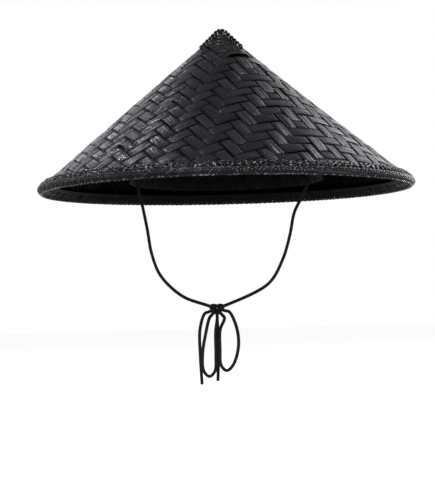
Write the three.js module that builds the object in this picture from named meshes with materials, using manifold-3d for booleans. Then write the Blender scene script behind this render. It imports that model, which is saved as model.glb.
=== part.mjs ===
// Conical woven bamboo hat, black, with a chin cord tied in a bow.
// Millimetres, +Z up. The origin is on the hat's axis, in the lower mouth of the head ring.
// Azimuth 0 is the front of the hat (-Y) and azimuth 90 is its +X side.

import * as THREE from "three";
import { mergeVertices } from "three/addons/utils/BufferGeometryUtils.js";
import Module from "manifold-3d";

// Driving dimensions
const RIM_RADIUS = 190;
const CONE_HEIGHT = 160;
const RIM_BELOW_ORIGIN = 6;
const GAP = 0.3;

const WALL = 2.0;
const EDGE_SAG = 1.6;
const SIDE_SAG = 1.6;
const BACK_LIFT = 2.5;
const APEX_LEAN = -1.5;
const WALL_ROWS = 8;

const OUTER_HOOP = { width: 9.0, thick: 2.0 };
const INNER_HOOP = { width: 12.0, thick: 2.2 };
const EDGE_BINDING = { depth: 3.4, bulge: 1.2, lip: 0.2 };

const CAP_LEG_LENGTH = 33;
const CAP_ROPE_RADIUS = 3.5;
const CAP_ROPE_RISE = 0.8;
const CAP_TOP_RISE = -0.8;
const CAP_AZIMUTHS = [50, 130];

const HEAD_RING = { radius: 98, thick: 3, topGap: 1.2 };

const CORD_DIAMETER = 3.2;
const CORD_SIDES = 8;
const CORD_STEP = 9.5;
const KNOT_CENTRE = new THREE.Vector3(-11.8, -62, -127.5);
const KNOT_RADII = new THREE.Vector3(8.6, 6.6, 6.6);
const TIE = { radius: 4.2, height: 2, azimuths: { left: -77, right: 64 } };
const END_GAP = 0.5;
const STRAIGHT_OUT = 4;

const ROUND_STEPS = 72;

// Cord routes. Each starts and ends at the head ring's tie on one side, at the chin knot in a given
// direction, or nowhere. Between the ends it passes through a few places, as x, y, z.
const CORD_ROUTES = [
  {
    name: "chin_cord_left",
    from: { tie: "left" },
    through: [[-84.5, -22, -19.5], [-79.4, -26.2, -45.8], [-75, -32, -72], [-66.2, -40, -94.1], [-44.9, -51, -114.8]],
    to: { knot: [-0.9, 0.3, 0.32] },
  },
  {
    name: "chin_cord_right",
    from: { tie: "right" },
    through: [[75.5, -39.8, -17], [66.2, -39.2, -35], [61.4, -39.4, -56.5], [53.4, -43.2, -81], [38.6, -49.8, -104.6]],
    to: { knot: [0.9, 0.3, 0.32] },
  },
  {
    name: "bow_loop_left",
    from: { knot: [-0.62, -0.25, -0.74] },
    through: [
      [-23.1, -67.4, -151], [-26.7, -68.8, -172], [-25.6, -69, -187.6], [-20.4, -69, -192.4],
      [-15.2, -69, -187.6], [-13.9, -68.6, -172], [-13.6, -67.4, -150],
    ],
    to: { knot: [0, -0.45, -0.89] },
  },
  {
    name: "bow_loop_right",
    from: { knot: [0.93, -0.25, -0.28] },
    through: [
      [6.8, -67, -147], [7.9, -68.6, -165], [2.2, -69, -182.4], [-3.8, -69, -187.2],
      [-8.9, -69, -182.4], [-9.8, -68.4, -166], [-9.2, -66.8, -148],
    ],
    to: { knot: [0.6, -0.1, -0.79] },
  },
  {
    name: "cord_end_left",
    from: { knot: [-0.93, -0.05, -0.36] },
    through: [[-28.6, -62, -147], [-28.9, -62, -174], [-27.9, -62, -200]],
    to: null,
  },
  {
    name: "cord_end_right",
    from: { knot: [0, 0.45, -0.89] },
    through: [[-11.4, -58, -152], [-11.5, -59.4, -173], [-12.6, -61.2, -197]],
    to: null,
  },
];

// Values worked out from the dimensions
const SLOPE = Math.atan2(CONE_HEIGHT, RIM_RADIUS);
const SLANT = Math.hypot(CONE_HEIGHT, RIM_RADIUS);
const APEX_Z = CONE_HEIGHT - RIM_BELOW_ORIGIN;
const BINDING_START = SLANT - EDGE_BINDING.depth;
const WALL_END = BINDING_START - GAP;
const RADIANS = Math.PI / 180;

// Materials
const finish = (color, roughness) => new THREE.MeshStandardMaterial({ color, roughness, metalness: 0 });
const lacqueredBamboo = finish("#26272a", 0.42);
const lacqueredBinding = finish("#2b2c30", 0.5);
const braidedCord = finish("#101012", 0.85);

// How far the surface hangs inside the straight cone: everywhere towards the rim, and more on the
// +X side halfway down. Angles are in radians.
function sagAt(slant, angle) {
  const down = Math.min(Math.max(slant / SLANT, 0), 1);
  const side = 0.5 + 0.5 * Math.sin(angle);
  return EDGE_SAG * down ** 2 + SIDE_SAG * side * Math.sin(Math.PI * down);
}

// Radius and height of a point given by its slant length and its rise above the straight slope
function onSlope(slant, rise) {
  const radius = slant * Math.cos(SLOPE) + rise * Math.sin(SLOPE);
  const z = APEX_Z - slant * Math.sin(SLOPE) + rise * Math.cos(SLOPE);
  return [radius, z];
}

function around(radius, z, angle) {
  return new THREE.Vector3(radius * Math.sin(angle), -radius * Math.cos(angle), z);
}

// A point of the hat as it has settled: sagged, the rim lifted at the back, the apex leaning
// sideways. Its rise counts from the sagged surface.
function settled(slant, rise, angle) {
  const [radius, z] = onSlope(slant, rise - sagAt(slant, angle));
  const atBack = (0.5 - 0.5 * Math.cos(angle)) ** 3;
  const point = around(radius, z + BACK_LIFT * atBack * (slant / SLANT) ** 2, angle);
  point.x += (APEX_LEAN * (z + RIM_BELOW_ORIGIN)) / CONE_HEIGHT;
  return point;
}

// One closed body: shared corners merged, slivers dropped, faces outwards
function closed(geometry) {
  geometry.deleteAttribute("normal");
  geometry.deleteAttribute("uv");
  const body = mergeVertices(geometry, 1e-4);
  const position = body.getAttribute("position");
  const corners = [0, 1, 2].map(() => new THREE.Vector3());
  const faces = [];
  let volume = 0;
  const index = body.getIndex().array;
  for (let i = 0; i < index.length; i += 3) {
    const face = [index[i], index[i + 1], index[i + 2]];
    if (new Set(face).size < 3) continue;
    faces.push(face);
    corners.forEach((corner, k) => corner.fromBufferAttribute(position, face[k]));
    volume += corners[0].dot(corners[1].cross(corners[2]));
  }
  body.setIndex(faces.flatMap((face) => (volume < 0 ? [face[0], face[2], face[1]] : face)));
  body.computeVertexNormals();
  return body;
}

// A profile of [radius, z] points turned about the hat's axis
function turned(profile) {
  const points = profile.map(([radius, z]) => new THREE.Vector2(radius, z));
  return new THREE.LatheGeometry(points, ROUND_STEPS).rotateX(Math.PI / 2);
}

// Moves each corner to where a rule puts it, given the corner's radius, height and angle
function reshape(geometry, rule) {
  const position = geometry.getAttribute("position");
  for (let i = 0; i < position.count; i += 1) {
    const [x, y, z] = [position.getX(i), position.getY(i), position.getZ(i)];
    const radius = Math.hypot(x, y);
    const angle = radius < 1e-6 ? 0 : Math.atan2(x, -y);
    position.setXYZ(i, ...rule(radius, z, angle));
  }
  return geometry;
}

// A profile of [slant, rise] points turned about the axis, then settled
function turnedOnSlope(profile) {
  const geometry = turned(profile.map(([slant, rise]) => onSlope(slant, rise)));
  return reshape(geometry, (radius, z, angle) => {
    const slant = radius * Math.cos(SLOPE) + (APEX_Z - z) * Math.sin(SLOPE);
    const rise = radius * Math.sin(SLOPE) + (z - APEX_Z) * Math.cos(SLOPE);
    return settled(slant, rise, angle);
  });
}

// Slants down the surface in equal rows
function rowsTo(end) {
  return Array.from({ length: WALL_ROWS + 1 }, (_, row) => (end * row) / WALL_ROWS);
}

// The slant at which a surface that is parallel to the slope meets the axis
const slantOnAxis = (rise) => -rise * Math.tan(SLOPE);

function crown() {
  const outside = rowsTo(WALL_END).map((slant) => [slant, 0]);
  const inside = rowsTo(WALL_END).slice(1).reverse().map((slant) => [slant, -WALL]);
  return closed(turnedOnSlope([...outside, ...inside, [slantOnAxis(-WALL), -WALL]]));
}

function hoop(width, low, high) {
  const start = WALL_END - width;
  return closed(turnedOnSlope([[start, low], [WALL_END, low], [WALL_END, high], [start, high], [start, low]]));
}

function edgeBinding(low, high) {
  const { depth, bulge, lip } = EDGE_BINDING;
  const middle = (low + high) / 2;
  const quarter = (high - low) / 4;
  const start = BINDING_START;
  return closed(turnedOnSlope([
    [start, low - lip],
    [start + depth - bulge, low - lip],
    [start + depth, middle - quarter],
    [start + depth, middle + quarter],
    [start + depth - bulge, high + lip],
    [start, high + lip],
    [start, low - lip],
  ]));
}

// Ring for the head: a band from the origin's plane up to the underside of the crown
function headRing() {
  const inner = HEAD_RING.radius - HEAD_RING.thick;
  const profile = [[HEAD_RING.radius, 0], [HEAD_RING.radius, 1], [inner, 1], [inner, 0], [HEAD_RING.radius, 0]];
  return closed(reshape(turned(profile), (radius, z, angle) => {
    const rise = -WALL - HEAD_RING.topGap - sagAt(radius / Math.cos(SLOPE), angle);
    const top = APEX_Z - radius * Math.tan(SLOPE) + rise / Math.cos(SLOPE);
    return around(radius, z < 0.5 ? 0 : top, angle);
  }));
}

// A round section drawn along a smooth curve
function tube(curve, radius, sides, steps) {
  const section = new THREE.Shape(
    Array.from({ length: sides }, (_, k) => {
      const angle = (2 * Math.PI * k) / sides;
      return new THREE.Vector2(radius * Math.cos(angle), radius * Math.sin(angle));
    }),
  );
  return closed(new THREE.ExtrudeGeometry(section, { steps, extrudePath: curve, bevelEnabled: false }));
}

const smooth = (points) => new THREE.CatmullRomCurve3(points, false, "centripetal");

// Solids for cutting and joining
const wasm = await Module();
wasm.setup();

function toSolid(geometry) {
  return new wasm.Manifold(new wasm.Mesh({
    numProp: 3,
    vertProperties: Float32Array.from(geometry.getAttribute("position").array),
    triVerts: Uint32Array.from(geometry.getIndex().array),
  }));
}

function fromSolid(solid) {
  const { vertProperties, triVerts } = solid.getMesh();
  const geometry = new THREE.BufferGeometry();
  geometry.setAttribute("position", new THREE.BufferAttribute(Float32Array.from(vertProperties), 3));
  geometry.setIndex(Array.from(triVerts));
  return closed(geometry);
}

// Lashing over the apex: two crossing ropes, their undersides cut to the slope
function apexCap() {
  const slants = [CAP_LEG_LENGTH, CAP_LEG_LENGTH * 0.65, CAP_LEG_LENGTH * 0.35];
  const ropes = CAP_AZIMUTHS.map((azimuth) => {
    const angles = [azimuth * RADIANS, (azimuth + 180) * RADIANS];
    const [leg, otherLeg] = angles.map((angle) => slants.map((slant) => settled(slant, CAP_ROPE_RISE, angle)));
    const top = settled(0, 0, 0);
    top.z += CAP_TOP_RISE;
    return toSolid(tube(smooth([...leg, top, ...otherLeg.reverse()]), CAP_ROPE_RADIUS, 12, 16));
  });
  const reach = CAP_LEG_LENGTH * 2;
  const slope = rowsTo(reach).slice(1).map((slant) => [slant, GAP]);
  const core = closed(turnedOnSlope([[slantOnAxis(GAP), GAP], ...slope, [slantOnAxis(-reach), -reach]]));
  return fromSolid(ropes[0].add(ropes[1]).subtract(toSolid(core)));
}

// A pulled knot: a small round body
function knot(centre, radii) {
  const geometry = new THREE.SphereGeometry(1, 16, 10).scale(radii.x, radii.y, radii.z);
  return closed(geometry.translate(centre.x, centre.y, centre.z));
}

function tieCentre(side) {
  const radius = HEAD_RING.radius - HEAD_RING.thick - GAP - TIE.radius;
  return around(radius, TIE.height, TIE.azimuths[side] * RADIANS);
}

// The two points with which a cord leaves what holds it: at the surface, and straight out of it
function leaving(end) {
  if (!end) return [];
  if (end.tie) {
    const bottom = tieCentre(end.tie);
    bottom.z -= TIE.radius + END_GAP;
    return [bottom];
  }
  const direction = new THREE.Vector3(...end.knot).normalize();
  const reach = 1 / direction.clone().divide(KNOT_RADII).length() + END_GAP;
  return [reach, reach + STRAIGHT_OUT].map((far) => KNOT_CENTRE.clone().addScaledVector(direction, far));
}

function cord({ from, through, to }) {
  const middle = through.map((place) => new THREE.Vector3(...place));
  const curve = smooth([...leaving(from), ...middle, ...leaving(to).reverse()]);
  return tube(curve, CORD_DIAMETER / 2, CORD_SIDES, Math.round(curve.getLength() / CORD_STEP));
}

const hat = new THREE.Group();

function add(name, geometry, look) {
  const mesh = new THREE.Mesh(geometry, look);
  mesh.name = name;
  hat.add(mesh);
}

const innerHoopLow = -WALL - GAP - INNER_HOOP.thick;
const outerHoopHigh = GAP + OUTER_HOOP.thick;
const tieRadii = new THREE.Vector3(TIE.radius, TIE.radius, TIE.radius);

add("crown", crown(), lacqueredBamboo);
add("rim_hoop_outer", hoop(OUTER_HOOP.width, GAP, outerHoopHigh), lacqueredBinding);
add("rim_hoop_inner", hoop(INNER_HOOP.width, innerHoopLow, -WALL - GAP), lacqueredBinding);
add("rim_edge_binding", edgeBinding(innerHoopLow, outerHoopHigh), lacqueredBinding);
add("apex_cap", apexCap(), lacqueredBinding);
add("head_ring", headRing(), lacqueredBamboo);
add("ring_tie_left", knot(tieCentre("left"), tieRadii), braidedCord);
add("ring_tie_right", knot(tieCentre("right"), tieRadii), braidedCord);
add("chin_knot", knot(KNOT_CENTRE, KNOT_RADII), braidedCord);
CORD_ROUTES.forEach((route) => add(route.name, cord(route), braidedCord));

export default hat;
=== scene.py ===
"""Looks of a conical woven bamboo hat with a chin cord, built round its CAD model.

Lengths are in millimetres up to the point where a mesh is made; Blender's own unit is the metre.
The hat's axis is Z, azimuth 0 is its front (-Y) and azimuth 90 its +X side.
"""

import math

import bmesh
import bpy
from mathutils import Matrix, Vector


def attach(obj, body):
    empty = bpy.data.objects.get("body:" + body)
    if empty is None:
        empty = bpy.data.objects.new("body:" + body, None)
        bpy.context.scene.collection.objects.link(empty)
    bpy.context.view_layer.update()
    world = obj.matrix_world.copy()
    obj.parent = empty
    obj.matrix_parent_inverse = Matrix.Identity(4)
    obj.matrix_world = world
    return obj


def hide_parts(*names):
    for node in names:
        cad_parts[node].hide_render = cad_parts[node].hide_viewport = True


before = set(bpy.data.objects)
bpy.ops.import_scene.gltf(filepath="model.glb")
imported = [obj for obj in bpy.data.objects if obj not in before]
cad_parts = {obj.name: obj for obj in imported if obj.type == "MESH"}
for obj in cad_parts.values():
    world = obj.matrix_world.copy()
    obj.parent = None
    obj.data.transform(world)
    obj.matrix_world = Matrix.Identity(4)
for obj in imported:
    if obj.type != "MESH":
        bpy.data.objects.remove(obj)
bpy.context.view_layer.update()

# Sizes shared with the part, in millimetres
RIM_RADIUS = 190
CONE_HEIGHT = 160
RIM_BELOW_ORIGIN = 6
EDGE_SAG = 1.6
SIDE_SAG = 1.6
BACK_LIFT = 2.5
APEX_LEAN = -1.5
WALL_END = 244.7
RING_RADIUS = 98
CORD_RADIUS = 1.6
KNOT_CENTRE = (-11.8, -62, -127.5)
KNOT_RADII = (8.6, 6.6, 6.6)
TIE_RADIUS = 4.2
TIE_CENTRES = {"left": (-88.18, -20.36, 2), "right": (81.34, -39.67, 2)}

SLOPE = math.atan2(CONE_HEIGHT, RIM_RADIUS)
SLANT = math.hypot(CONE_HEIGHT, RIM_RADIUS)
APEX_Z = CONE_HEIGHT - RIM_BELOW_ORIGIN
SHEET_SHARE = 0.75  # the flat mat is three quarters of a full turn
FULL_TURN = 2 * math.pi

# Camera, placed from the photograph: millimetres, degrees and pixels
CAMERA = {"place": (0, -1550, -143), "pitch": 2.86, "roll": -1.41, "yaw": 0.38, "focal": 1542, "sensor": 36}
FRAME_HEIGHT = 495
FLOOR_Z = -232

# Kinds of node. The operation of a math node follows its kind after a colon
MAP_RANGE = "ShaderNodeMapRange"
MIX = "ShaderNodeMix"
NOISE = "ShaderNodeTexNoise"
COMBINE = "ShaderNodeCombineXYZ"
SEPARATE = "ShaderNodeSeparateXYZ"
GROUP = "GeometryNodeGroup"
STORE = "GeometryNodeStoreNamedAttribute"
EASED = {"interpolation_type": "SMOOTHSTEP"}
(
    ABSOLUTE, ADD, ARCTAN2, COMPARE, COSINE, DIVIDE, FLOOR, GREATER_THAN, LESS_THAN,
    MAXIMUM, MULTIPLY, MULTIPLY_ADD, POWER, SIGN, SINE, SQRT, SUBTRACT, WRAP,
) = (
    "ShaderNodeMath:" + name
    for name in (
        "ABSOLUTE", "ADD", "ARCTAN2", "COMPARE", "COSINE", "DIVIDE", "FLOOR", "GREATER_THAN", "LESS_THAN",
        "MAXIMUM", "MULTIPLY", "MULTIPLY_ADD", "POWER", "SIGN", "SINE", "SQRT", "SUBTRACT", "WRAP",
    )
)
VECTOR_LENGTH, VECTOR_SCALE, VECTOR_SUBTRACT = (
    "ShaderNodeVectorMath:" + name for name in ("LENGTH", "SCALE", "SUBTRACT")
)


def linear(code):
    """An sRGB hex colour as linear numbers."""
    parts = [int(code[i:i + 2], 16) / 255 for i in (1, 3, 5)]
    return tuple(c / 12.92 if c <= 0.04045 else ((c + 0.055) / 1.055) ** 2.4 for c in parts) + (1.0,)


def add(tree, kind, inputs=(), **settings):
    """Adds a node. Inputs go by place or by name, and each is a node, a socket or a constant."""
    kind, _, operation = kind.partition(":")
    node = tree.nodes.new(kind)
    if operation:
        node.operation = operation
    for name, value in settings.items():
        setattr(node, name, value)
    for key, value in inputs.items() if isinstance(inputs, dict) else enumerate(inputs):
        if isinstance(value, bpy.types.Node):
            value = value.outputs[0]
        if isinstance(value, bpy.types.NodeSocket):
            tree.links.new(value, node.inputs[key])
        elif value is not None:
            node.inputs[key].default_value = value
    return node


def new_object(name, data):
    piece = bpy.data.objects.new(name, data)
    bpy.context.collection.objects.link(piece)
    return piece


def new_tree(name, numbers, counts=(), result="Geometry"):
    """An empty geometry tree with named inputs and one output, and its inputs' sockets."""
    tree = bpy.data.node_groups.new(name, "GeometryNodeTree")
    inputs = [("Int", label) for label in counts] + [("Float", label) for label in numbers]
    if result == "Geometry":
        inputs = [("Geometry", "Geometry")] + inputs + [("Material", "Material")]
    for kind, label in inputs:
        tree.interface.new_socket(name=label, in_out="INPUT", socket_type="NodeSocket" + kind)
    tree.interface.new_socket(name=result, in_out="OUTPUT", socket_type="NodeSocket" + result)
    return tree, tree.nodes.new("NodeGroupInput").outputs


def end_tree(tree, get, shape):
    """Ends a tree with smooth faces, real geometry and the material."""
    smooth = add(tree, "GeometryNodeSetShadeSmooth", {"Geometry": shape})
    whole = add(tree, "GeometryNodeRealizeInstances", {"Geometry": smooth})
    painted = add(tree, "GeometryNodeSetMaterial", {"Geometry": whole, "Material": get["Material"]})
    add(tree, "NodeGroupOutput", [painted])


# Camera and cords come first


def place_camera():
    pitch, roll, yaw = (math.radians(CAMERA[k]) for k in ("pitch", "roll", "yaw"))
    ahead = Vector((-math.sin(yaw) * math.cos(pitch), math.cos(yaw) * math.cos(pitch), math.sin(pitch)))
    level = Vector((math.cos(yaw), math.sin(yaw), 0))
    upright = level.cross(ahead)
    right = level * math.cos(roll) + upright * math.sin(roll)
    up = upright * math.cos(roll) - level * math.sin(roll)
    data = bpy.data.cameras.new("camera")
    data.sensor_width = CAMERA["sensor"]
    data.lens = CAMERA["focal"] / FRAME_HEIGHT * data.sensor_width
    data.clip_start = 0.05
    data.clip_end = 50
    camera = new_object("camera", data)
    turn = Matrix((right, up, -ahead)).transposed()
    camera.matrix_world = Matrix.Translation(Vector(CAMERA["place"]) / 1000) @ turn.to_4x4()
    bpy.context.scene.camera = camera


place_camera()


def smooth_path(points, per_span):
    """Centripetal Catmull-Rom points through the given ones."""
    p = [Vector(q) for q in points]
    p = [p[0] * 2 - p[1]] + p + [p[-1] * 2 - p[-2]]
    path = []
    for a, b, c, d in zip(p, p[1:], p[2:], p[3:]):
        gaps = [max((v - u).length ** 0.5, 1e-6) for u, v in ((a, b), (b, c), (c, d))]
        leave = (b - a) / gaps[0] - (c - a) / (gaps[0] + gaps[1]) + (c - b) / gaps[1]
        arrive = (c - b) / gaps[1] - (d - b) / (gaps[1] + gaps[2]) + (d - c) / gaps[2]
        for i in range(per_span):
            t = i / per_span
            path.append(
                b * (2 * t**3 - 3 * t**2 + 1)
                + leave * gaps[1] * (t**3 - 2 * t**2 + t)
                + c * (3 * t**2 - 2 * t**3)
                + arrive * gaps[1] * (t**3 - t**2)
            )
    return path + [p[-2]]


def tube(name, path, radius, sides=12, closed=False, taper=0):
    """A round tube along a path in millimetres, with a UV map in millimetres: along, and round."""
    path = [Vector(p) for p in path]
    count = len(path)
    tangents = []
    for i in range(count):
        before = path[i - 1] if closed else path[max(i - 1, 0)]
        after = path[(i + 1) % count] if closed else path[min(i + 1, count - 1)]
        tangents.append((after - before).normalized())
    normal = tangents[0].orthogonal().normalized()
    normals = [normal]
    for i in range(1, count):
        normal = (normal - tangents[i] * normal.dot(tangents[i])).normalized()
        normals.append(normal)
    spin = 0
    if closed:
        last = (normal - tangents[0] * normal.dot(tangents[0])).normalized()
        spin = math.atan2(last.cross(normals[0]).dot(tangents[0]), last.dot(normals[0]))
    bm = bmesh.new()
    uv = bm.loops.layers.uv.new("UVMap")
    rings, lengths, far = [], [], 0
    for i, (p, tangent, normal) in enumerate(zip(path, tangents, normals)):
        if i:
            far += (p - path[i - 1]).length
        lengths.append(far)
        across = tangent.cross(normal)
        ring = []
        for k in range(sides):
            angle = FULL_TURN * k / sides + spin * i / count
            out = normal * math.cos(angle) + across * math.sin(angle)
            ring.append(bm.verts.new((p + out * radius) / 1000))
        rings.append(ring)
    if closed:
        rings.append(rings[0])
        lengths.append(far + (path[0] - path[-1]).length)
    around = FULL_TURN * radius / sides
    for i in range(len(rings) - 1):
        for k in range(sides):
            j = (k + 1) % sides
            face = bm.faces.new((rings[i][k], rings[i][j], rings[i + 1][j], rings[i + 1][k]))
            face.smooth = True
            for loop, at in zip(face.loops, ((i, k), (i, k + 1), (i + 1, k + 1), (i + 1, k))):
                loop[uv].uv = (lengths[at[0]], at[1] * around)
    if not closed:
        start = path[0] - (path[1] - path[0]).normalized() * taper
        end = path[-1] + (path[-1] - path[-2]).normalized() * taper
        for place, ring, way in ((start, rings[0], -1), (end, rings[-1], 1)):
            tip = bm.verts.new(place / 1000)
            for k in range(sides):
                face = bm.faces.new((ring[k], ring[(k + 1) % sides], tip)[::way])
                face.smooth = True
    return mesh_object(name, bm)


def mesh_object(name, bm):
    """An object from a mesh in the making, its faces turned outwards."""
    bmesh.ops.recalc_face_normals(bm, faces=bm.faces)
    mesh = bpy.data.meshes.new(name)
    bm.to_mesh(mesh)
    bm.free()
    return new_object(name, mesh)


# Cord routes as in the part: where each starts, the places it passes, and where it ends
CORD_ROUTES = {
    "chin_cord_left": (
        {"tie": "left"},
        [
            (-84.5, -22, -19.5), (-79.4, -26.2, -45.8), (-75, -32, -72),
            (-66.2, -40, -94.1), (-44.9, -51, -114.8),
        ],
        {"knot": (-0.9, 0.3, 0.32)},
    ),
    "chin_cord_right": (
        {"tie": "right"},
        [
            (75.5, -39.8, -17), (66.2, -39.2, -35), (61.4, -39.4, -56.5),
            (53.4, -43.2, -81), (38.6, -49.8, -104.6),
        ],
        {"knot": (0.9, 0.3, 0.32)},
    ),
    "bow_loop_left": (
        {"knot": (-0.62, -0.25, -0.74)},
        [
            (-23.1, -67.4, -151), (-26.7, -68.8, -172), (-25.6, -69, -187.6), (-20.4, -69, -192.4),
            (-15.2, -69, -187.6), (-13.9, -68.6, -172), (-13.6, -67.4, -150),
        ],
        {"knot": (0, -0.45, -0.89)},
    ),
    "bow_loop_right": (
        {"knot": (0.93, -0.25, -0.28)},
        [
            (6.8, -67, -147), (7.9, -68.6, -165), (2.2, -69, -182.4), (-3.8, -69, -187.2),
            (-8.9, -69, -182.4), (-9.8, -68.4, -166), (-9.2, -66.8, -148),
        ],
        {"knot": (0.6, -0.1, -0.79)},
    ),
    "cord_end_left": (
        {"knot": (-0.93, -0.05, -0.36)},
        [(-28.6, -62, -147), (-28.9, -62, -174), (-27.9, -62, -200)],
        None,
    ),
    "cord_end_right": (
        {"knot": (0, 0.45, -0.89)},
        [(-11.4, -58, -152), (-11.5, -59.4, -173), (-12.6, -61.2, -197)],
        None,
    ),
}
PATH_STEPS = 9  # points from one place of a route to the next


def leaving(end):
    """The points with which a cord leaves what holds it, the first of them inside it."""
    if not end:
        return []
    if "tie" in end:
        centre = Vector(TIE_CENTRES[end["tie"]])
        return [centre - Vector((0, 0, TIE_RADIUS * 0.6)), centre - Vector((0, 0, TIE_RADIUS + 0.5))]
    way = Vector(end["knot"]).normalized()
    reach = 1 / Vector(way[i] / KNOT_RADII[i] for i in range(3)).length
    return [Vector(KNOT_CENTRE) + way * far for far in (reach * 0.55, reach + 0.5, reach + 4.5)]


def make_cords():
    cords = {}
    for name, (start, places, finish) in CORD_ROUTES.items():
        path = smooth_path(leaving(start) + places + leaving(finish)[::-1], PATH_STEPS)
        piece = tube(name + "_braid", path, CORD_RADIUS, taper=0.5)
        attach(piece, "root")
        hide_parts(name)
        cords[name] = piece
    return cords


cords = make_cords()


# Materials


def new_material(name, **values):
    """A material with a Principled shader, whose plain values are set on its own sockets."""
    material = bpy.data.materials.new(name)
    material.use_nodes = True
    shader = material.node_tree.nodes["Principled BSDF"]
    for label, value in values.items():
        shader.inputs[label.replace("_", " ")].default_value = value
    return material, material.node_tree, shader


def two_greys(tree, value, least, most, dark, light):
    """A colour that goes from dark to light while the value goes from least to most."""
    colour = add(tree, "ShaderNodeValToRGB", [add(tree, MAP_RANGE, [value, least, most, 0, 1])])
    stops = colour.color_ramp.elements
    stops[0].color = linear(dark)
    stops[1].color = linear(light)
    return colour.outputs[0]


STREAKS = (0.75, 1.45)  # least and most of a strip's streaks
FIBRE_SPAN = (0.55, 1.05)  # the same for a fibre's scratches and patches
BRAID_YARNS = 8  # yarns each way round the cord


def painted_strip():
    """Split bamboo strips brushed with black lacquer: satin, with the fibres' lengthwise ridges
    under the paint, each strip a little different, with less gloss and painted shade deep in the crossings."""
    material, tree, shader = new_material("painted_split_bamboo", IOR=1.5, Metallic=0.0)
    where = add(tree, "ShaderNodeUVMap", uv_map="UVMap")
    tone = add(tree, "ShaderNodeAttribute", attribute_name="tone")
    depth = add(tree, "ShaderNodeAttribute", attribute_name="depth")
    # Fibres are some 0.6 mm apart and drawn 1.6 mm apart, so that the picture's pixels can show them
    fibres = add(tree, "ShaderNodeMapping", {"Vector": where, "Scale": (0.012, 0.62, 1)})
    grain = add(tree, NOISE, {"Vector": fibres, "Scale": 1.0, "Detail": 2.0, "Roughness": 0.55})
    strands = add(tree, "ShaderNodeMapping", {"Vector": where, "Scale": (0.008, 0.38, 1)})
    ridges = add(tree, NOISE, {"Vector": strands, "Scale": 1.0, "Detail": 1.0})
    patches = add(tree, "ShaderNodeMapping", {"Vector": where, "Scale": (0.09, 0.16, 1)})
    brushing = add(tree, NOISE, {"Vector": patches, "Scale": 1.0, "Detail": 2.0})
    mixed = add(tree, MULTIPLY_ADD, [tone.outputs["Fac"], 0.45, brushing.outputs[0]])
    fine = add(tree, MULTIPLY_ADD, [grain.outputs[0], 0.45, mixed])
    streaked = add(tree, MULTIPLY_ADD, [ridges.outputs[0], 0.35, fine])
    colour = two_greys(tree, streaked, *STREAKS, "#080909", "#222326")
    painted_crossing_shade = add(tree, MAP_RANGE, [depth.outputs["Fac"], -1.05, -0.55, 0.05, 1.0])
    # Painted shade: the colour is darkened where a strip lies deep in the crossings
    shaded = add(tree, MIX, {0: 1.0, 6: colour, 7: painted_crossing_shade}, data_type="RGBA", blend_type="MULTIPLY")
    tree.links.new(shaded.outputs["Result"], shader.inputs["Base Color"])
    dull = add(tree, MAP_RANGE, [streaked, *STREAKS, 0.42, 0.16])
    tree.links.new(dull.outputs[0], shader.inputs["Roughness"])
    gloss = add(tree, MAP_RANGE, [depth.outputs["Fac"], -0.5, -0.12, 0.03, 0.5])
    tree.links.new(gloss.outputs[0], shader.inputs["Specular IOR Level"])
    height = add(tree, MULTIPLY_ADD, [ridges.outputs[0], 1.6, grain.outputs[0]])
    bump = add(tree, "ShaderNodeBump", {"Height": height, "Strength": 1.0, "Distance": 0.0011})
    tree.links.new(bump.outputs[0], shader.inputs["Normal"])
    return material


def painted_fibre(name, dark, light, roughness, relief=0.4, gloss=0.5, painted_glints=None):
    """Black-painted rattan, bamboo or palm fibre: fine scratches and patches in two near blacks.
    Painted highlights are light spots mixed into the colour, with a colour, a width in mm and a share."""
    material, tree, shader = new_material(name, IOR=1.5, Metallic=0.0, Specular_IOR_Level=gloss)
    where = add(tree, "ShaderNodeTexCoord").outputs["Object"]
    noise = add(tree, NOISE, {"Vector": where, "Scale": 260.0, "Detail": 3.0})
    broad = add(tree, NOISE, {"Vector": where, "Scale": 45.0, "Detail": 2.0})
    both = add(tree, MULTIPLY_ADD, [noise.outputs[0], 0.6, broad.outputs[0]])
    colour = two_greys(tree, both, *FIBRE_SPAN, dark, light)
    # Painted highlights: light spots of the given colour mixed into the base colour
    if painted_glints:
        spread = add(tree, NOISE, {"Vector": where, "Scale": 1000 / painted_glints["width"], "Detail": 0.0})
        least = 0.72 - 0.5 * painted_glints["share"]
        spot = add(tree, MAP_RANGE, [spread.outputs[0], least, least + 0.06, 0, 1])
        mixed = add(tree, MIX, {0: spot, 6: colour, 7: linear(painted_glints["colour"])}, data_type="RGBA")
        colour = mixed.outputs["Result"]
    tree.links.new(colour, shader.inputs["Base Color"])
    dull = add(tree, MAP_RANGE, [both, *FIBRE_SPAN, roughness + 0.1, roughness - 0.08])
    tree.links.new(dull.outputs[0], shader.inputs["Roughness"])
    bump = add(tree, "ShaderNodeBump", {"Height": noise, "Strength": relief, "Distance": 0.0004})
    tree.links.new(bump.outputs[0], shader.inputs["Normal"])
    return material


def braided_cord():
    """Tubular braid of black polyester yarn: matt, with a fine diamond of crossing yarns."""
    material, tree, shader = new_material("braided_polyester_cord", IOR=1.5, Metallic=0.0, Roughness=0.82)
    where = add(tree, SEPARATE, [add(tree, "ShaderNodeUVMap", uv_map="UVMap")])
    waves = []
    for kind in (ADD, SUBTRACT):
        way = add(tree, kind, [where.outputs[0], where.outputs[1]])
        waves.append(add(tree, SINE, [add(tree, MULTIPLY, [way, BRAID_YARNS / CORD_RADIUS])]))
    braid = add(tree, MAXIMUM, waves)
    colour = two_greys(tree, braid, -0.6, 1.0, "#060607", "#17171a")
    tree.links.new(colour, shader.inputs["Base Color"])
    bump = add(tree, "ShaderNodeBump", {"Height": braid, "Strength": 0.6, "Distance": 0.0003})
    tree.links.new(bump.outputs[0], shader.inputs["Normal"])
    return material


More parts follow.
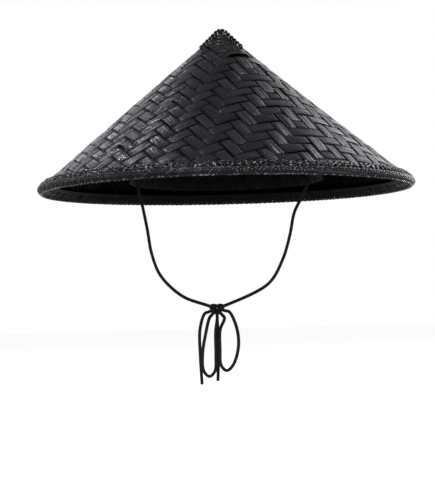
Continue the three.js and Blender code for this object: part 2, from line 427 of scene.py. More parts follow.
strip_paint = painted_strip()
FIBRE_PAINTS = {
    # Rattan wound tight and brushed black: satin, with painted highlights as lighter flecks
    "winding": {
        "name": "painted_rattan_winding", "dark": "#070708", "light": "#202124", "roughness": 0.18,
        "painted_glints": {"colour": "#3e3f43", "width": 2.2, "share": 0.24},
    },
    # Twisted line under the edge, glossy, with painted highlights as a row of pale dots
    "line": {
        "name": "glossy_rattan_line", "dark": "#0a0a0b", "light": "#2c2d30", "roughness": 0.14,
        "relief": 0.1, "gloss": 0.9, "painted_glints": {"colour": "#85878d", "width": 3.4, "share": 0.3},
    },
    # The same line above the edge, worn duller, with fainter painted highlights
    "seam": {
        "name": "dull_rattan_line", "dark": "#0a0a0b", "light": "#2c2d30", "roughness": 0.18,
        "relief": 0.2, "gloss": 0.5, "painted_glints": {"colour": "#4c4d52", "width": 3.4, "share": 0.3},
    },
    # Rough stitches thick with lacquer: black, with painted highlights as a few bright points
    "knot": {
        "name": "glossy_rattan_stitches", "dark": "#030304", "light": "#1c1d1f", "roughness": 0.13,
        "relief": 0.25, "gloss": 0.6, "painted_glints": {"colour": "#8a8c93", "width": 1.8, "share": 0.08},
    },
    # Palm rope soaked in paint: the blackest place, with a painted highlight here and there
    "rope": {
        "name": "painted_palm_rope", "dark": "#020203", "light": "#060607", "roughness": 0.24,
        "relief": 0.05, "gloss": 0.3, "painted_glints": {"colour": "#b2b4b9", "width": 2.6, "share": 0.035},
    },
    # Round rattan under the rope: smooth and black
    "turns": {
        "name": "painted_rattan_turns", "dark": "#030304", "light": "#141517", "roughness": 0.22,
        "relief": 0.1, "gloss": 0.5,
    },
    # Flat splints, planed and painted: dull black, and dullest on the ring
    "splint": {
        "name": "painted_bamboo_splint", "dark": "#040405", "light": "#151618",
        "roughness": 0.5, "gloss": 0.3,
    },
    "ring": {
        "name": "painted_ring_splint", "dark": "#060607", "light": "#131415",
        "roughness": 0.6, "gloss": 0.25,
    },
}
paints = {use: painted_fibre(**row) for use, row in FIBRE_PAINTS.items()}
cord_braid = braided_cord()
for cord_piece in cords.values():
    cord_piece.data.materials.append(cord_braid)


# Places on the hat


def on_hat(slant, rise, angle):
    """A point by its slant length, its rise above the settled surface and its angle, in millimetres."""
    down = min(max(slant / SLANT, 0), 1)
    sag = EDGE_SAG * down**2 + SIDE_SAG * (0.5 + 0.5 * math.sin(angle)) * math.sin(math.pi * down)
    height = rise - sag
    radius = slant * math.cos(SLOPE) + height * math.sin(SLOPE)
    z = APEX_Z - slant * math.sin(SLOPE) + height * math.cos(SLOPE)
    lift = BACK_LIFT * (0.5 - 0.5 * math.cos(angle)) ** 3 * down**2
    lean = APEX_LEAN * (z + RIM_BELOW_ORIGIN) / CONE_HEIGHT
    return Vector((radius * math.sin(angle) + lean, -radius * math.cos(angle), z + lift))


def on_hat_tree():
    """The same rule as on_hat, as nodes, giving metres."""
    tree, get = new_tree("place_on_hat", ("Slant", "Rise", "Angle"), result="Vector")
    slant, rise, angle = get["Slant"], get["Rise"], get["Angle"]
    down = add(tree, DIVIDE, [slant, SLANT], use_clamp=True)
    squared = add(tree, MULTIPLY, [down, down])
    bow = add(tree, SINE, [add(tree, MULTIPLY, [down, math.pi])])
    sine = add(tree, SINE, [angle])
    cosine = add(tree, COSINE, [angle])
    side = add(tree, MULTIPLY_ADD, [sine, 0.5 * SIDE_SAG, 0.5 * SIDE_SAG])
    side_sag = add(tree, MULTIPLY, [bow, side])
    sag = add(tree, MULTIPLY_ADD, [squared, EDGE_SAG, side_sag])
    height = add(tree, SUBTRACT, [rise, sag])
    out = add(tree, MULTIPLY, [slant, math.cos(SLOPE)])
    radius = add(tree, MULTIPLY_ADD, [height, math.sin(SLOPE), out])
    drop = add(tree, MULTIPLY_ADD, [slant, -math.sin(SLOPE), APEX_Z])
    z = add(tree, MULTIPLY_ADD, [height, math.cos(SLOPE), drop])
    back = add(tree, POWER, [add(tree, MULTIPLY_ADD, [cosine, -0.5, 0.5]), 3.0])
    lift = add(tree, MULTIPLY, [back, squared])
    top = add(tree, MULTIPLY_ADD, [lift, BACK_LIFT, z])
    lean = APEX_LEAN / CONE_HEIGHT
    shift = add(tree, MULTIPLY_ADD, [z, lean, lean * RIM_BELOW_ORIGIN])
    x = add(tree, MULTIPLY_ADD, [radius, sine, shift])
    y = add(tree, MULTIPLY, [add(tree, MULTIPLY, [radius, cosine]), -1.0])
    point = add(tree, COMBINE, [x, y, top])
    metres = add(tree, VECTOR_SCALE, {0: point, "Scale": 0.001})
    add(tree, "NodeGroupOutput", [metres])
    return tree


place_on_hat = on_hat_tree()


def grow(name, tree, values, material, thick=0):
    """Runs a geometry tree and keeps its result as a plain mesh."""
    piece = new_object(name, bpy.data.meshes.new(name))
    modifier = piece.modifiers.new("grow", "NODES")
    modifier.node_group = tree
    sockets = {item.name: item.identifier for item in tree.interface.items_tree if item.in_out == "INPUT"}
    for label, value in {**values, "Material": material}.items():
        modifier[sockets[label]] = value
    if thick:
        wall = piece.modifiers.new("thickness", "SOLIDIFY")
        wall.thickness = thick / 1000
        wall.offset = -1
    graph = bpy.context.evaluated_depsgraph_get()
    grown = piece.evaluated_get(graph)
    mesh = bpy.data.meshes.new_from_object(grown, preserve_all_data_layers=True, depsgraph=graph)
    mesh.name = name
    bpy.data.objects.remove(piece)
    return new_object(name, mesh)


# The woven crown: a flat twill mat, three quarters of a turn, closed into a cone. Three sets of
# strips cross it, each set straight on the flat mat and square to the next

STRIP_THICK = 0.85
STRIP_STEPS = 440  # points along a strip
STRIP_ROWS = 5  # points across it
ROW_SPACING = 0.6  # below 1 the rows lie closer together near the edges, which turn down
WIDTH_SHARE = (0.85, 0.94)  # a strip's width as a share of its pitch
CROSSING = (0.82, 1.06)  # from where to where a strip dives, in crossed strips from a float's middle
ARCH = (0.1, 1.0)  # the same for the arch of a float
ARCH_RISE = 0.22
WAVE = 0.55  # rise above and fall below the middle of the mat
EDGE_TURN = -0.3  # how far a strip's edges turn down
TILT = 0.9  # most that one float leans
SETTLED = -0.7  # the middle of the mat against the hat's surface
HIDDEN_WIDER = 0.13  # a strip spreads where it is hidden
WANDER = 0.9
WANDER_TURNS = 0.018  # to the millimetre along a strip
MEETING = 3.0  # a strip goes from one crossed set to the next this close to where they meet
LOOSE_EASE = 7.0  # length over which a loose edge lifts
UV_STEP = 531.0  # from one strip's stretch of the pattern to the next one's
CROSSED = ("Pitch", "Shift", "Bend", "Bend at", "Phase")


def woven_set_tree():
    """One set of strips. Across a strip's length the crossing strips are counted, and a strip goes
    over two and under two, one step further along on the next strip."""
    numbers = ["First centre", "Pitch", "Wider by", "Wider from", "Turn", "Seed"]
    numbers += [f"{label} {side}" for side in ("ahead", "behind") for label in CROSSED]
    numbers += ["Loose " + label for label in ("strip", "from", "to", "cut", "lift")]
    tree, get = new_tree("woven_strips", numbers, ("Strips", "Steps"))
    row = add(tree, "GeometryNodeMeshLine", {"Count": get["Strips"], "Offset": (0, 0, 0)})
    index = add(tree, "GeometryNodeInputIndex")
    numbered = add(tree, STORE, {"Geometry": row, "Name": "strip", "Value": index})
    grid = {"Size X": 2.0, "Size Y": 1.0, "Vertices X": get["Steps"], "Vertices Y": STRIP_ROWS}
    blank = add(tree, "GeometryNodeMeshGrid", grid)
    laid = add(tree, "GeometryNodeInstanceOnPoints", {"Points": numbered, "Instance": blank})
    real = add(tree, "GeometryNodeRealizeInstances", {"Geometry": laid})

    strip = add(tree, "GeometryNodeInputNamedAttribute", {"Name": "strip"}, data_type="FLOAT")
    along, aside = add(tree, SEPARATE, [add(tree, "GeometryNodeInputPosition")]).outputs[:2]
    doubled = add(tree, MULTIPLY, [add(tree, ABSOLUTE, [aside]), 2.0])
    halved = add(tree, MULTIPLY, [add(tree, POWER, [doubled, ROW_SPACING]), 0.5])
    across = add(tree, MULTIPLY, [halved, add(tree, SIGN, [aside])])
    seeded = add(tree, ADD, [strip, get["Seed"]])
    chance = add(tree, "ShaderNodeTexWhiteNoise", {"W": seeded}, noise_dimensions="1D")
    share = add(tree, MAP_RANGE, [chance.outputs["Value"], 0, 1, *WIDTH_SHARE])
    wider = add(tree, GREATER_THAN, [strip, get["Wider from"]])
    pitch = add(tree, MULTIPLY_ADD, [wider, get["Wider by"], get["Pitch"]])
    beyond = add(tree, MAXIMUM, [add(tree, SUBTRACT, [strip, get["Wider from"]]), 0.0])
    even = add(tree, MULTIPLY_ADD, [strip, get["Pitch"], get["First centre"]])
    middle = add(tree, MULTIPLY_ADD, [beyond, get["Wider by"], even])
    # The first strip reaches in to the line through the apex
    inmost = add(tree, MULTIPLY, [add(tree, LESS_THAN, [strip, 0.5]), add(tree, LESS_THAN, [across, 0.0])])
    plain = add(tree, MULTIPLY, [share, pitch])
    width = add(tree, MIX, [inmost, None, plain, add(tree, MULTIPLY, [middle, 2.0])])
    line = add(tree, MAXIMUM, [add(tree, MULTIPLY_ADD, [across, width, middle]), 0.1])
    room = add(tree, MULTIPLY_ADD, [add(tree, MULTIPLY, [line, line]), -1.0, WALL_END**2])
    reach = add(tree, SQRT, [add(tree, MAXIMUM, [room, 1.0])])
    run = add(tree, MULTIPLY, [along, reach])

    waves = []
    for ahead in (True, False):
        label = "ahead" if ahead else "behind"
        forward = add(tree, MULTIPLY, [run, 1.0 if ahead else -1.0])
        cells = add(tree, DIVIDE, [forward, get["Pitch " + label]])
        further = add(tree, MAXIMUM, [add(tree, SUBTRACT, [forward, get["Bend at " + label]]), 0.0])
        bent = add(tree, MULTIPLY_ADD, [further, get["Bend " + label], cells])
        # The first strip crossed counts as one cell right up to the line where two sets meet
        counted = add(tree, MAXIMUM, [add(tree, ADD, [bent, get["Shift " + label]]), 0.5])
        stepped = add(tree, SUBTRACT, [add(tree, SUBTRACT, [counted, strip]), get["Phase " + label]])
        cycle = add(tree, WRAP, [stepped, 2.0, -2.0])
        floated = add(tree, FLOOR, [add(tree, MULTIPLY_ADD, [stepped, 0.25, 0.5])])
        near = add(tree, ABSOLUTE, [cycle])
        over = add(tree, MAP_RANGE, [near, *CROSSING, 1.0, -1.0], **EASED)
        waves.append((over, near, floated))
    turning = add(tree, MAP_RANGE, [run, -MEETING, MEETING, 0.0, 1.0], **EASED)
    over, near, floated = (add(tree, MIX, [turning, None, waves[1][i], waves[0][i]]) for i in range(3))
    arch = add(tree, MAP_RANGE, [near, *ARCH, 1.0, 0.0], **EASED)

    side = add(tree, GREATER_THAN, [run, MEETING])
    place = add(tree, COMBINE, [strip, floated, add(tree, MULTIPLY_ADD, [side, 7.0, get["Seed"]])])
    each = add(tree, "ShaderNodeTexWhiteNoise", {"Vector": place}, noise_dimensions="3D")
    tilt = add(tree, MAP_RANGE, [each.outputs["Value"], 0, 1, -TILT, TILT])
    leaning = add(tree, MULTIPLY, [add(tree, MULTIPLY, [tilt, across]), arch])
    edge = add(tree, POWER, [add(tree, MULTIPLY, [add(tree, ABSOLUTE, [across]), 2.0]), 5.0])
    crowned = add(tree, MULTIPLY_ADD, [edge, EDGE_TURN, add(tree, MULTIPLY, [arch, ARCH_RISE])])
    waved = add(tree, MULTIPLY_ADD, [over, WAVE, crowned])
    settled = add(tree, ADD, [add(tree, ADD, [waved, leaning]), SETTLED])
    # One strip of each set has worked loose for a stretch along its outer edge
    which = add(tree, COMPARE, [strip, get["Loose strip"], 0.5])
    lifted = add(tree, ADD, [get["Loose from"], LOOSE_EASE])
    enters = add(tree, MAP_RANGE, [run, get["Loose from"], lifted, 0.0, 1.0], **EASED)
    lowered = add(tree, SUBTRACT, [get["Loose to"], LOOSE_EASE])
    leaves = add(tree, MAP_RANGE, [run, lowered, get["Loose to"], 1.0, 0.0], **EASED)
    stretch = add(tree, MULTIPLY, [add(tree, MULTIPLY, [enters, leaves]), which])
    outer = add(tree, MAXIMUM, [add(tree, MULTIPLY, [across, 2.0]), 0.0])
    loose = add(tree, MULTIPLY, [stretch, outer])
    rise = add(tree, MULTIPLY_ADD, [loose, get["Loose lift"], settled])

    drift = add(tree, COMBINE, [add(tree, MULTIPLY, [run, WANDER_TURNS]), strip, get["Seed"]])
    wander = add(tree, NOISE, {"Vector": drift, "Scale": 1.0, "Detail": 0.0})
    # The strips beside a line where two sets meet keep close to it, so that no hole opens there
    calm = add(tree, MAP_RANGE, [line, 1.0, 9.0, 0.0, WANDER])
    shifted = add(tree, MULTIPLY, [add(tree, MAP_RANGE, [wander.outputs[0], 0.2, 0.8, -1.0, 1.0]), calm])
    hidden = add(tree, MULTIPLY, [add(tree, MULTIPLY_ADD, [over, -HIDDEN_WIDER, HIDDEN_WIDER]), pitch])
    spread_out = add(tree, MULTIPLY_ADD, [hidden, across, add(tree, ADD, [line, shifted])])
    drawn_in = add(tree, MULTIPLY_ADD, [loose, add(tree, MULTIPLY, [get["Loose cut"], -1.0]), spread_out])
    far = add(tree, MAXIMUM, [drawn_in, 0.05])

    flat = add(tree, COMBINE, [far, run, 0.0])
    slant = add(tree, VECTOR_LENGTH, [flat]).outputs["Value"]
    swing = add(tree, ARCTAN2, [run, far])
    angle = add(tree, MULTIPLY_ADD, [swing, 1 / SHEET_SHARE, get["Turn"]])
    spot = add(tree, GROUP, {"Slant": slant, "Rise": rise, "Angle": angle}, node_tree=place_on_hat)

    spread = add(tree, MULTIPLY_ADD, [strip, UV_STEP, run])
    map_at = add(tree, COMBINE, [spread, line, 0.0])
    mapped = add(
        tree, STORE, {"Geometry": real, "Name": "UVMap", "Value": map_at},
        data_type="FLOAT2", domain="CORNER",
    )
    toned = add(tree, STORE, {"Geometry": mapped, "Name": "tone", "Value": each.outputs["Value"]})
    deep = add(tree, STORE, {"Geometry": toned, "Name": "depth", "Value": rise})
    end_tree(tree, get, add(tree, "GeometryNodeSetPosition", {"Geometry": deep, "Position": spot}))
    return tree


# Each set: how far its middle direction is turned, the centre of its first strip, its pitch, how much
# wider it is from some strip on, its step against the next set, and where a strip has worked loose
STRIP_SETS = [
    {
        "name": "strips_from_left", "turn": -84, "first": 7.3, "pitch": 11.9,
        "wider": 0, "from": 30, "phase": 1, "count": 20,
        "loose": {"strip": 13, "from": 96, "to": 124, "cut": 2.0, "lift": 0.9},
    },
    {
        "name": "strips_from_front", "turn": 36, "first": 9.95, "pitch": 11.1,
        "wider": 1.6, "from": 10.3, "phase": 1, "count": 20,
        "loose": {"strip": 3, "from": -21, "to": 11, "cut": 2.9, "lift": 1.4},
    },
    {
        "name": "strips_from_back", "turn": 156, "first": 5.6, "pitch": 12.45,
        "wider": 0, "from": 30, "phase": 0, "count": 19,
        "loose": {"strip": 0, "from": -122, "to": -50, "cut": 3.4, "lift": 0.2},
    },
]


def make_crown():
    tree = woven_set_tree()
    pieces = []
    for i, strips in enumerate(STRIP_SETS):
        values = {
            "Strips": strips["count"],
            "Steps": STRIP_STEPS,
            "First centre": strips["first"],
            "Pitch": strips["pitch"],
            "Wider by": float(strips["wider"]),
            "Wider from": float(strips["from"]),
            "Turn": math.radians(strips["turn"]),
            "Seed": 11.0 + 17 * i,
        }
        before = STRIP_SETS[i - 1]
        after = STRIP_SETS[(i + 1) % 3]
        sides = (("ahead", after, strips["phase"]), ("behind", before, 3 - before["phase"]))
        for side, other, phase in sides:
            crossed = (
                other["pitch"],
                0.5 - other["first"] / other["pitch"],
                1 / (other["pitch"] + other["wider"]) - 1 / other["pitch"],
                other["first"] + other["from"] * other["pitch"],
                float(phase),
            )
            values.update({f"{label} {side}": value for label, value in zip(CROSSED, crossed)})
        values.update({"Loose " + label: float(value) for label, value in strips["loose"].items()})
        pieces.append(grow(strips["name"], tree, values, strip_paint, STRIP_THICK))
    return pieces


crown_pieces = make_crown()


def squared_circle(tree, turned, squareness):
    """Cosine and sine of an angle, each to a power: 1 gives a circle, and less a rounded box."""
    shape = []
    for kind in (COSINE, SINE):
        wave = add(tree, kind, [turned])
        size = add(tree, POWER, [add(tree, ABSOLUTE, [wave]), squareness])
        shape.append(add(tree, MULTIPLY, [size, add(tree, SIGN, [wave])]))
    return shape


def winding_tree():
    """A strand wound round and round a place on the hat's rim, or twisted along it when small."""
    numbers = [
        "Slant", "Rise", "Half width", "Half height", "Squareness", "Skew", "Phase",
        "Strand radius", "Unevenness", "Seed",
    ]
    tree, get = new_tree("winding", numbers, ("Turns", "Points a turn", "Sides"))
    count = add(tree, MULTIPLY, [get["Turns"], get["Points a turn"]])
    plain = {"Curve": add(tree, "GeometryNodeCurvePrimitiveLine"), "Count": add(tree, ADD, [count, 1.0])}
    line = add(tree, "GeometryNodeResampleCurve", plain)
    index = add(tree, "GeometryNodeInputIndex")
    part = add(tree, DIVIDE, [index, count])
    base = add(tree, MULTIPLY, [part, FULL_TURN])
    turned = add(tree, ADD, [add(tree, MULTIPLY, [base, get["Turns"]]), get["Phase"]])
    shape = squared_circle(tree, turned, get["Squareness"])
    # The unevenness is noise along a circle, so that it meets itself
    ring = [add(tree, MULTIPLY, [add(tree, kind, [base]), 90.0]) for kind in (SINE, COSINE)]
    circle = add(tree, COMBINE, [*ring, add(tree, ADD, [get["Seed"], shape[1]])])
    noise = add(tree, NOISE, {"Vector": circle, "Scale": 1.0, "Detail": 1.0})
    uneven = add(tree, VECTOR_SUBTRACT, [noise.outputs["Color"], (0.5, 0.5, 0.5)])
    scaled = add(tree, VECTOR_SCALE, {0: uneven, "Scale": get["Unevenness"]})
    jitter = add(tree, SEPARATE, [scaled])
    wide = add(tree, MULTIPLY_ADD, [shape[0], get["Half width"], jitter.outputs[0]])
    low = add(tree, MULTIPLY, [jitter.outputs[1], 0.4])
    tall = add(tree, MULTIPLY_ADD, [shape[1], get["Half height"], low])
    slant = add(tree, ADD, [wide, get["Slant"]])
    rise = add(tree, ADD, [tall, get["Rise"]])
    skewed = add(tree, MULTIPLY_ADD, [shape[1], get["Skew"], jitter.outputs[2]])
    angle = add(tree, MULTIPLY_ADD, [skewed, 1 / RIM_RADIUS, base])
    spot = add(tree, GROUP, {"Slant": slant, "Rise": rise, "Angle": angle}, node_tree=place_on_hat)
    wound = add(tree, "GeometryNodeSetPosition", {"Geometry": line, "Position": spot})
    metres = add(tree, MULTIPLY, [get["Strand radius"], 0.001])
    section = add(tree, "GeometryNodeCurvePrimitiveCircle", {"Resolution": get["Sides"], "Radius": metres})
    parts = {"Curve": wound, "Profile Curve": section, "Fill Caps": True}
    end_tree(tree, get, add(tree, "GeometryNodeCurveToMesh", parts))
    return tree


def band_tree():
    """A flat splint bent right round the hat, with rounded corners."""
    numbers = ("Slant", "Rise", "Width", "Thickness", "Squareness", "Waver", "Seed")
    tree, get = new_tree("splint", numbers, ("Around", "Section"))
    blank = add(tree, "GeometryNodeMeshGrid", {
        "Size X": FULL_TURN, "Size Y": FULL_TURN,
        "Vertices X": add(tree, ADD, [get["Around"], 1.0]),
        "Vertices Y": add(tree, ADD, [get["Section"], 1.0]),
    })
    at = add(tree, SEPARATE, [add(tree, "GeometryNodeInputPosition")])
    shape = squared_circle(tree, at.outputs[1], get["Squareness"])
    ring = [add(tree, kind, [at.outputs[0]]) for kind in (SINE, COSINE)]
    circle = add(tree, COMBINE, [*ring, get["Seed"]])
    noise = add(tree, NOISE, {"Vector": circle, "Scale": 6.0, "Detail": 1.0})
    waver = add(tree, MULTIPLY, [add(tree, SUBTRACT, [noise.outputs[0], 0.5]), get["Waver"]])
    half = add(tree, MULTIPLY, [get["Width"], 0.5])
    deep = add(tree, MULTIPLY, [get["Thickness"], 0.5])
    slant = add(tree, ADD, [add(tree, MULTIPLY_ADD, [shape[0], half, get["Slant"]]), waver])
    rise = add(tree, MULTIPLY_ADD, [shape[1], deep, get["Rise"]])
    spot = add(tree, GROUP, {"Slant": slant, "Rise": rise, "Angle": at.outputs[0]}, node_tree=place_on_hat)
    bent = add(tree, "GeometryNodeSetPosition", {"Geometry": blank, "Position": spot})
    closed = add(tree, "GeometryNodeMergeByDistance", {"Geometry": bent, "Distance": 0.00001})
    end_tree(tree, get, closed)
    return tree


winding = winding_tree()
band = band_tree()

# Splints round the rim
SPLINT_COLUMNS = ("name", "node", "Slant", "Rise", "Width", "Thickness")
SPLINTS = [
    ("outer_hoop_upper", "rim_hoop_outer", 237.8, 0.9, 3.6, 1.2),
    ("outer_hoop_lower", "rim_hoop_outer", 242.2, 0.9, 4.2, 1.4),
    ("inner_hoop_upper", "rim_hoop_inner", 235.8, -3.3, 5.4, 1.5),
    ("inner_hoop_lower", "rim_hoop_inner", 241.6, -3.4, 5.6, 1.6),
    ("edge_core", "rim_edge_binding", 246.3, -1.1, 2.4, 4.6),
]
SPLINT_FORM = {"Around": 240, "Section": 12, "Squareness": 0.45, "Waver": 0.8}
STRAND_SIDES = 6

# Strands wound round the rim; a row with two strands is a pair twisted on each other
WINDING_COLUMNS = (
    "name", "node", "paint", "strands", "Turns", "Points a turn", "Slant", "Rise", "Half width",
    "Half height", "Squareness", "Skew", "Phase", "Strand radius", "Unevenness", "Seed",
)
WINDINGS = [
    (
        "edge_winding", "rim_edge_binding", "winding", 1, 330, 10, 246.6, -1.1, 1.0, 2.15, 0.75, 2.2, 0.0,
        1.1, 0.6, 3.0,
    ),
    (
        "edge_line_upper", "rim_edge_binding", "seam", 2, 110, 12, 245.6, 1.8, 0.55, 0.55, 1.0, 0.0, 0.0,
        0.65, 0.4, 5.0,
    ),
    (
        "edge_line_lower", "rim_edge_binding", "line", 2, 110, 12, 247.2, -4.0, 0.55, 0.55, 1.0, 0.0, 0.0,
        0.65, 0.4, 8.0,
    ),
    (
        "hoop_stitches_long", "rim_hoop_outer", "winding", 1, 64, 14, 239.9, -1.2, 4.8, 3.1, 0.6, 2.6, 0.0,
        0.5, 3.4, 13.0,
    ),
    (
        "hoop_stitches_short", "rim_hoop_outer", "knot", 1, 150, 10, 239.9, 1.4, 4.4, 1.2, 0.7, -3.2, 1.3,
        0.8, 4.2, 29.0,
    ),
    (
        "hoop_knots_upper", "rim_hoop_outer", "knot", 1, 180, 8, 237.6, 1.9, 1.6, 1.0, 1.0, 2.0, 0.0, 0.85,
        3.6, 41.0,
    ),
    (
        "hoop_knots_lower", "rim_hoop_outer", "knot", 1, 160, 8, 241.8, 2.0, 1.5, 1.0, 1.0, -2.2, 0.6,
        0.85, 3.4, 57.0,
    ),
]


def make_rim():
    pieces = {}
    for row in SPLINTS:
        splint = dict(zip(SPLINT_COLUMNS, row))
        values = {label: value for label, value in splint.items() if label[0].isupper()}
        values.update(SPLINT_FORM, Seed=splint["Slant"])
        piece = grow(splint["name"], band, values, paints["splint"])
        pieces.setdefault(splint["node"], []).append(piece)
    for columns in WINDINGS:
        row = dict(zip(WINDING_COLUMNS, columns))
        values = {label: value for label, value in row.items() if label[0].isupper()}
        values["Sides"] = STRAND_SIDES
        for k in range(row["strands"]):
            values["Phase"] = row["Phase"] + FULL_TURN * k / row["strands"]
            strand = grow(f"{row['name']}_{k}", winding, values, paints[row["paint"]])
            pieces.setdefault(row["node"], []).append(strand)
    return pieces


rim_pieces = make_rim()


POINTS_A_LAY = 8  # along a rope's strand
CAP_SIDES = 8
TURN_POINTS = 40  # round a turn under the rope


def joined(name, pieces):
    """Several objects as one mesh."""
    bm = bmesh.new()
    for piece in pieces:
        bm.from_mesh(piece.data)
    mesh = bpy.data.meshes.new(name)
    bm.to_mesh(mesh)
    bm.free()
    for piece in pieces:
        bpy.data.objects.remove(piece)
    return new_object(name, mesh)


def twisted(name, path, strands, strand_radius, offset, pitch):
    """A rope: strands laid helically round a path. The path is sampled evenly before that."""
    steps = [0]
    for a, b in zip(path, path[1:]):
        steps.append(steps[-1] + (b - a).length)
    count = int(steps[-1] / abs(pitch) * POINTS_A_LAY)
    even, at = [], 0
    for i in range(count + 1):
        far = steps[-1] * i / count
        while at < len(path) - 2 and steps[at + 1] < far:
            at += 1
        share = (far - steps[at]) / (steps[at + 1] - steps[at])
        even.append(path[at].lerp(path[at + 1], share))
    normal = (even[1] - even[0]).orthogonal().normalized()
    frames = []
    for i, p in enumerate(even):
        tangent = (even[min(i + 1, count)] - even[max(i - 1, 0)]).normalized()
        normal = (normal - tangent * normal.dot(tangent)).normalized()
        frames.append((p, normal, tangent.cross(normal), steps[-1] * i / count))
    parts = []
    for k in range(strands):
        line = []
        for p, normal, across, far in frames:
            angle = FULL_TURN * (far / pitch + k / strands)
            line.append(p + (normal * math.cos(angle) + across * math.sin(angle)) * offset)
        parts.append(tube(f"{name}_{k}", line, strand_radius, CAP_SIDES, taper=strand_radius * 0.6))
    return joined(name, parts)


# Lashing over the apex: two ropes laid crosswise over it, and turns of strand under them
CAP = {
    "leg": 33, "parts": (1, 0.7, 0.4, 0.17), "rise": 0.8, "top": -1.4, "azimuths": (50, 130),
    "strands": 3, "strand": 2.1, "offset": 1.7, "lay": 15,
}
CAP_TURNS = (
    {"slant": 9.5, "rise": 0.3, "radius": 1.2},
    {"slant": 13.7, "rise": 0.4, "radius": 1.1},
    {"slant": 20.9, "rise": 0.3, "radius": 1.0},
    {"slant": 26.7, "rise": 0.2, "radius": 1.0},
)


def make_cap():
    ropes = []
    for azimuth in CAP["azimuths"]:
        legs = [
            [on_hat(CAP["leg"] * part, CAP["rise"], math.radians(azimuth + half)) for part in CAP["parts"]]
            for half in (0, 180)
        ]
        path = smooth_path(legs[0] + [on_hat(0, CAP["top"], 0)] + legs[1][::-1], 12)
        lay = CAP["lay"] * (1 if azimuth < 90 else -1)
        name = f"cap_rope_{azimuth}"
        ropes.append(twisted(name, path, CAP["strands"], CAP["strand"], CAP["offset"], lay))
    turns = []
    for row in CAP_TURNS:
        angles = [FULL_TURN * k / TURN_POINTS for k in range(TURN_POINTS)]
        ring = [on_hat(row["slant"], row["rise"], angle) for angle in angles]
        turns.append(tube(f"cap_turn_{row['slant']}", ring, row["radius"], CAP_SIDES, closed=True))
    pieces = joined("apex_lashing", ropes), joined("apex_turns", turns)
    for piece, paint in zip(pieces, (paints["rope"], paints["turns"])):
        piece.data.materials.append(paint)
    return pieces


cap_pieces = make_cap()


# Head ring: flat hoops with uprights plaited between them
RING = {
    "middle": RING_RADIUS - 1.5, "hoops": 5, "first": 6.6, "step": 13.1, "width": 11.6, "around": 360,
    "uprights": 60, "upright": 9.2, "foot": 0.4, "top": 65.5, "along": 28, "wave": 0.55,
}
RING_CORNERS = ((-0.4, -0.5), (0.4, -0.5), (0.4, 0.5), (-0.4, 0.5))  # out in mm, and a share of the width


def on_ring(radius, angle, z):
    return Vector((radius * math.sin(angle), -radius * math.cos(angle), z))


def box_strip(bm, sections, closed):
    """Faces of a strip from its four-cornered sections."""
    rows = [[bm.verts.new(p / 1000) for p in section] for section in sections]
    for a, b in zip(rows, rows[1:] + rows[:1] if closed else rows[1:]):
        for k in range(4):
            j = (k + 1) % 4
            bm.faces.new((a[k], a[j], b[j], b[k]))
    if not closed:
        bm.faces.new(rows[0])
        bm.faces.new(rows[-1][::-1])


def make_head_ring():
    bm = bmesh.new()
    half = RING["uprights"] / 2
    for n in range(RING["hoops"]):
        z = RING["first"] + n * RING["step"]
        sections = []
        for i in range(RING["around"]):
            angle = FULL_TURN * i / RING["around"]
            radius = RING["middle"] + RING["wave"] * math.sin(angle * half) * (-1) ** n
            section = [on_ring(radius + out, angle, z + up * RING["width"]) for out, up in RING_CORNERS]
            sections.append(section)
        box_strip(bm, sections, True)
    for n in range(RING["uprights"]):
        angle = FULL_TURN * (n + 0.5) / RING["uprights"]
        sections = []
        for i in range(RING["along"] + 1):
            z = RING["foot"] + (RING["top"] - RING["foot"]) * i / RING["along"]
            wave = RING["wave"] * math.cos(math.pi * (z - RING["first"]) / RING["step"])
            radius = RING["middle"] - wave * (-1) ** n
            section = []
            for out, side in RING_CORNERS:
                section.append(on_ring(radius + out * 0.9, angle + side * RING["upright"] / RING_RADIUS, z))
            sections.append(section)
        box_strip(bm, sections, False)
    piece = mesh_object("plaited_ring", bm)
    piece.data.materials.append(paints["ring"])
    return piece


head_ring = make_head_ring()


def knotted(name, centre, size, radius):
    """A pulled overhand knot: the cord's line goes round as a trefoil."""
    path = []
    for k in range(72):
        t = FULL_TURN * k / 72
        x = (math.sin(t) + 2 * math.sin(2 * t)) / 3
        z = (math.cos(t) - 2 * math.cos(2 * t)) / 3
        path.append(Vector(centre) + Vector((x * size[0], -math.sin(3 * t) * size[1], z * size[2])))
    piece = tube(name, path, radius, closed=True)
    piece.data.materials.append(cord_braid)
    return piece


TIE_SIZE = (2.4, 1.6, 2.4)
knots = {"chin_knot": knotted("bow_knot", KNOT_CENTRE, (6.6, 2.6, 4.6), CORD_RADIUS)}
for side, centre in TIE_CENTRES.items():
    knots["ring_tie_" + side] = knotted("tie_" + side, centre, TIE_SIZE, CORD_RADIUS * 0.8)

# The CAD node each piece stands for, with a finish named for it; each piece rides on the root and its node
# is hidden
shown = [("crown", piece, "lacquered_bamboo") for piece in crown_pieces]
shown += [(node, piece, "lacquered_binding") for node, pieces in rim_pieces.items() for piece in pieces]
shown += [("apex_cap", piece, "lacquered_binding") for piece in cap_pieces]
shown += [(node, piece, "braided_cord") for node, piece in knots.items()]
shown += [("head_ring", head_ring, "lacquered_bamboo")]
for node, piece, finish in shown:
    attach(piece, "root")
    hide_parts(node)


# Floor, background and light


FLOOR_HALF = 30  # metres


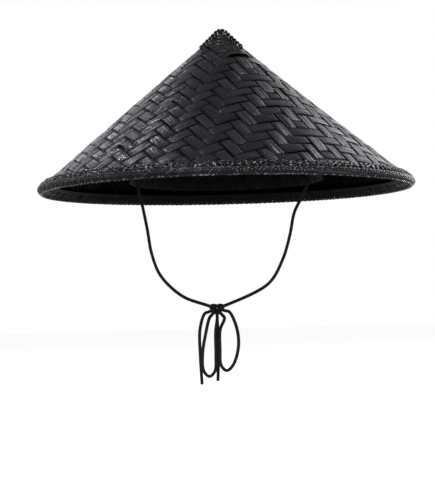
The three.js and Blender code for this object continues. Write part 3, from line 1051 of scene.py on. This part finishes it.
def make_stage():
    """A matt white floor, and a white room that is brighter low down, behind and to the right."""
    corners = [(x * FLOOR_HALF, y * FLOOR_HALF, 0) for x, y in ((-1, -1), (1, -1), (1, 1), (-1, 1))]
    mesh = bpy.data.meshes.new("floor")
    mesh.from_pydata(corners, [], [(0, 1, 2, 3)])
    mesh.transform(Matrix.Translation((0, 0, FLOOR_Z / 1000)))
    floor = new_object("floor", mesh)
    material, tree, shader = new_material("matt_white_floor", Roughness=0.95, Emission_Color=(1, 1, 1, 1))
    seen = add(tree, "ShaderNodeLightPath").outputs["Is Camera Ray"]
    # The floor glows: evenly white to the camera, and to other rays grey, glowing more away from the hat,
    # so that it throws little light up under the hat
    greys = {0: seen, 6: linear("#3a3a3c"), 7: linear("#9a9a9a")}
    paint = add(tree, MIX, greys, data_type="RGBA")
    tree.links.new(paint.outputs["Result"], shader.inputs["Base Color"])
    where = add(tree, "ShaderNodeTexCoord").outputs["Object"]
    spot = add(tree, VECTOR_LENGTH, [where]).outputs["Value"]
    thrown = add(tree, MAP_RANGE, [spot, 0.35, 1.5, 0.04, 0.8])
    shine = add(tree, MIX, [seen, None, thrown, 0.84])
    tree.links.new(shine.outputs[0], shader.inputs["Emission Strength"])
    mesh.materials.append(material)

    world = bpy.data.worlds.new("studio")
    bpy.context.scene.world = world
    world.use_nodes = True
    tree = world.node_tree
    tree.nodes.clear()
    seen = add(tree, "ShaderNodeLightPath")
    way = add(tree, SEPARATE, [add(tree, "ShaderNodeTexCoord").outputs["Generated"]])
    high = add(tree, MAP_RANGE, [way.outputs[2], 0.25, 0.8, 1.0, 0.1], **EASED)
    back = add(tree, MAP_RANGE, [way.outputs[1], -0.7, 0.7, 0.25, 1.25], **EASED)
    sideways = add(tree, MAP_RANGE, [way.outputs[0], -0.7, 0.7, 0.7, 1.15])
    glow = add(tree, MULTIPLY, [add(tree, MULTIPLY, [high, back]), sideways])
    light = add(tree, "ShaderNodeBackground", {"Color": linear("#f2f5f9"), "Strength": glow})
    plain = add(tree, "ShaderNodeBackground", {"Color": (1, 1, 1, 1), "Strength": 1.0})
    mixed = add(tree, "ShaderNodeMixShader", [seen.outputs["Is Camera Ray"], light, plain])
    add(tree, "ShaderNodeOutputWorld", [mixed])


def light(name, place, target, size, power, colour, angle=0, glossy=True):
    """A lamp in metres and watts: a soft disc or, with an angle in degrees, a narrow spot."""
    data = bpy.data.lights.new(name, "SPOT" if angle else "AREA")
    if angle:
        data.shadow_soft_size = size
        data.spot_size = math.radians(angle)
        data.spot_blend = 1.0
    else:
        data.shape = "DISK"
        data.size = size
    data.energy = power
    data.color = linear(colour)[:3]
    lamp = new_object(name, data)
    lamp.location = place
    lamp.rotation_euler = (Vector(target) - Vector(place)).to_track_quat("-Z", "Y").to_euler()
    lamp.visible_glossy = glossy


make_stage()
light("cap_glints", (-0.35, -1.1, 0.75), (0, 0, 0.143), 0.04, 36, "#ffffff", angle=5.5)
light("low_left_glints", (-1.3, -1.5, -0.02), (-0.1, -0.1, 0), 0.14, 5, "#ffffff")
light("low_right_glints", (1.6, 0.55, 0.06), (0.14, 0, 0), 0.2, 6, "#ffffff")
light("top_fill", (0.2, -0.4, 3.0), (0, 0, 0), 2.6, 60, "#ffffff", glossy=False)
light("front_key", (-0.7, -1.9, 2.3), (0, 0, 0.05), 0.3, 48, "#fafaff")
light("front_fill", (0.5, -2.8, 0.5), (0, 0, 0), 1.2, 18, "#fbfbff")
light("left_glints", (-1.15, 1.6, 1.15), (-0.1, -0.1, 0.03), 0.5, 3.0, "#eceffa")
light("low_weave_glints", (-0.52, 0.42, 0.95), (-0.075, -0.14, 0.015), 0.03, 6.5, "#f2f4fc", angle=8)
light("right_edge", (1.5, 1.35, 1.22), (0.1, 0, 0.05), 1.5, 16, "#f4f6fa")

bpy.context.scene.view_settings.view_transform = "Standard"
bpy.context.scene.view_settings.look = "None"
